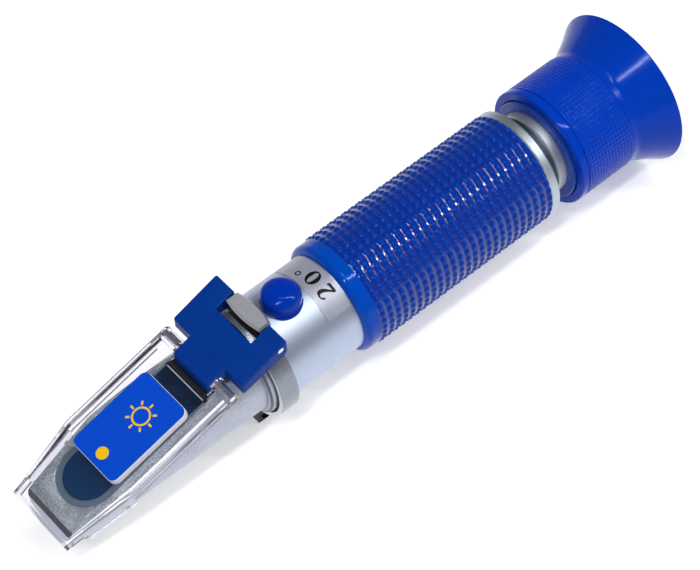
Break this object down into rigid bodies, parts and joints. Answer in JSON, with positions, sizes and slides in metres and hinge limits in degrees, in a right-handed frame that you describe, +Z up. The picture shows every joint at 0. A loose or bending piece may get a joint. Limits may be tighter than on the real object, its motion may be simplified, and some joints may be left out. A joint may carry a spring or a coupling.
{
  "type": "handheld refractometer",
  "caption": "Tubular handheld sugar refractometer with a hinged clear cover over its prism, a knurled grip, a calibration screw under a dome cap and a turning eyepiece with a flared eyecup.",
  "frame": {"origin": "on the optical axis, at the middle of the overall length from the cover plate's front edge to the eyecup's rim; the lug's foot and the rim reach equally far below it as the rim does above", "axes": "+X along the optical axis towards the eyecup, +Z up towards the prism's cover and the dome cap, +Y to the left when looking along +X"},
  "size_m": [0.1736, 0.04, 0.04],
  "materials": {
    "satin_tube": "satin turned tube",
    "cast_metal": "sand-cast, unpolished",
    "band_metal": "die-cast with polished front",
    "bright_ring": "fine turned",
    "pin_steel": "polished",
    "screw_steel": "machined",
    "dark_steel": "blackened",
    "black_anodised": "black anodised, dull",
    "brass_screw": "machined",
    "grip_rubber": "knurled blue rubber, half gloss",
    "collar_plastic": "smooth bright blue",
    "eyepiece_plastic": "smooth and knurled blue",
    "cap_plastic": "polished blue",
    "block_plastic": "fine-grained blue",
    "clear_plastic": "clear moulded acrylic",
    "white_plastic": "white",
    "blue_label": "printed film with a yellow pictogram",
    "tube_label_film": "printed silver film",
    "dark_rubber": "dull",
    "seal_grey": "dull grey",
    "prism_glass": "polished dark blue glass",
    "lens_glass": "coated optical glass",
    "scale_glass": "glass disc"
  },
  "bodies": {
    "tube": {"main_tube": "satin_tube", "grip_collar": "collar_plastic", "grip_sleeve": "grip_rubber", "end_ring": "bright_ring", "tube_label": "tube_label_film", "prism_casting": "cast_metal", "prism": "prism_glass", "prism_seal": "seal_grey", "clamp_band": "band_metal", "band_liner": "dark_rubber", "clamp_screw": "dark_steel", "hinge_pin": "pin_steel", "screw_boss": "brass_screw", "carriage_frame": "black_anodised", "lens_carriage": "black_anodised", "objective_lens": "lens_glass", "bimetal_strip": "screw_steel", "strip_screw": "screw_steel", "light_baffle": "black_anodised", "scale_cell": "black_anodised", "scale_glass": "scale_glass", "scale_ring": "black_anodised", "eyepiece_neck": "bright_ring", "guide_pin": "screw_steel"},
    "hinge_block": {"hinge_block": "block_plastic", "cover_pin": "pin_steel"},
    "cover": {"cover_plate": "clear_plastic", "cover_pad": "white_plastic", "pad_label": "blue_label"},
    "cap": {"calibration_cap": "cap_plastic"},
    "calibration_screw": {"calibration_screw": "brass_screw"},
    "ocular": {"lens_barrel": "black_anodised", "field_lens": "lens_glass", "lens_spacer": "black_anodised", "eye_lens": "lens_glass", "retaining_ring": "black_anodised"},
    "focus": {"focus_ring": "eyepiece_plastic", "dust_ring": "dark_rubber", "eyecup": "eyepiece_plastic"}
  },
  "joints": [
    {"name": "block_hinge", "type": "hinge", "parent": "tube", "child": "hinge_block", "pos_m": [-0.02744, 0, 0.01555], "axis": [0, 1, 0], "range_deg": [0, 110]},
    {"name": "cover_hinge", "type": "hinge", "parent": "hinge_block", "child": "cover", "pos_m": [-0.04114, 0, 0.01058], "axis": [0, 1, 0], "range_deg": [0, 60]},
    {"name": "cap_pull", "type": "slide", "parent": "tube", "child": "cap", "axis": [0, 0, 1], "range_m": [0, 0.01]},
    {"name": "calibration_turn", "type": "hinge", "parent": "tube", "child": "calibration_screw", "pos_m": [-0.01774, 0, 0.0146], "axis": [0, 0, 1], "range_deg": [-270, 270]},
    {"name": "eyepiece_slide", "type": "slide", "parent": "tube", "child": "ocular", "axis": [1, 0, 0], "range_m": [-0.0015, 0.0015]},
    {"name": "focus_turn", "type": "hinge", "parent": "ocular", "child": "focus", "pos_m": [0.0665, 0, 0], "axis": [1, 0, 0], "range_deg": [-180, 180]}
  ],
  "couplings": [
    {"joint": "eyepiece_slide", "follows": "focus_turn", "m_per_rad": 0.00047746}
  ]
}
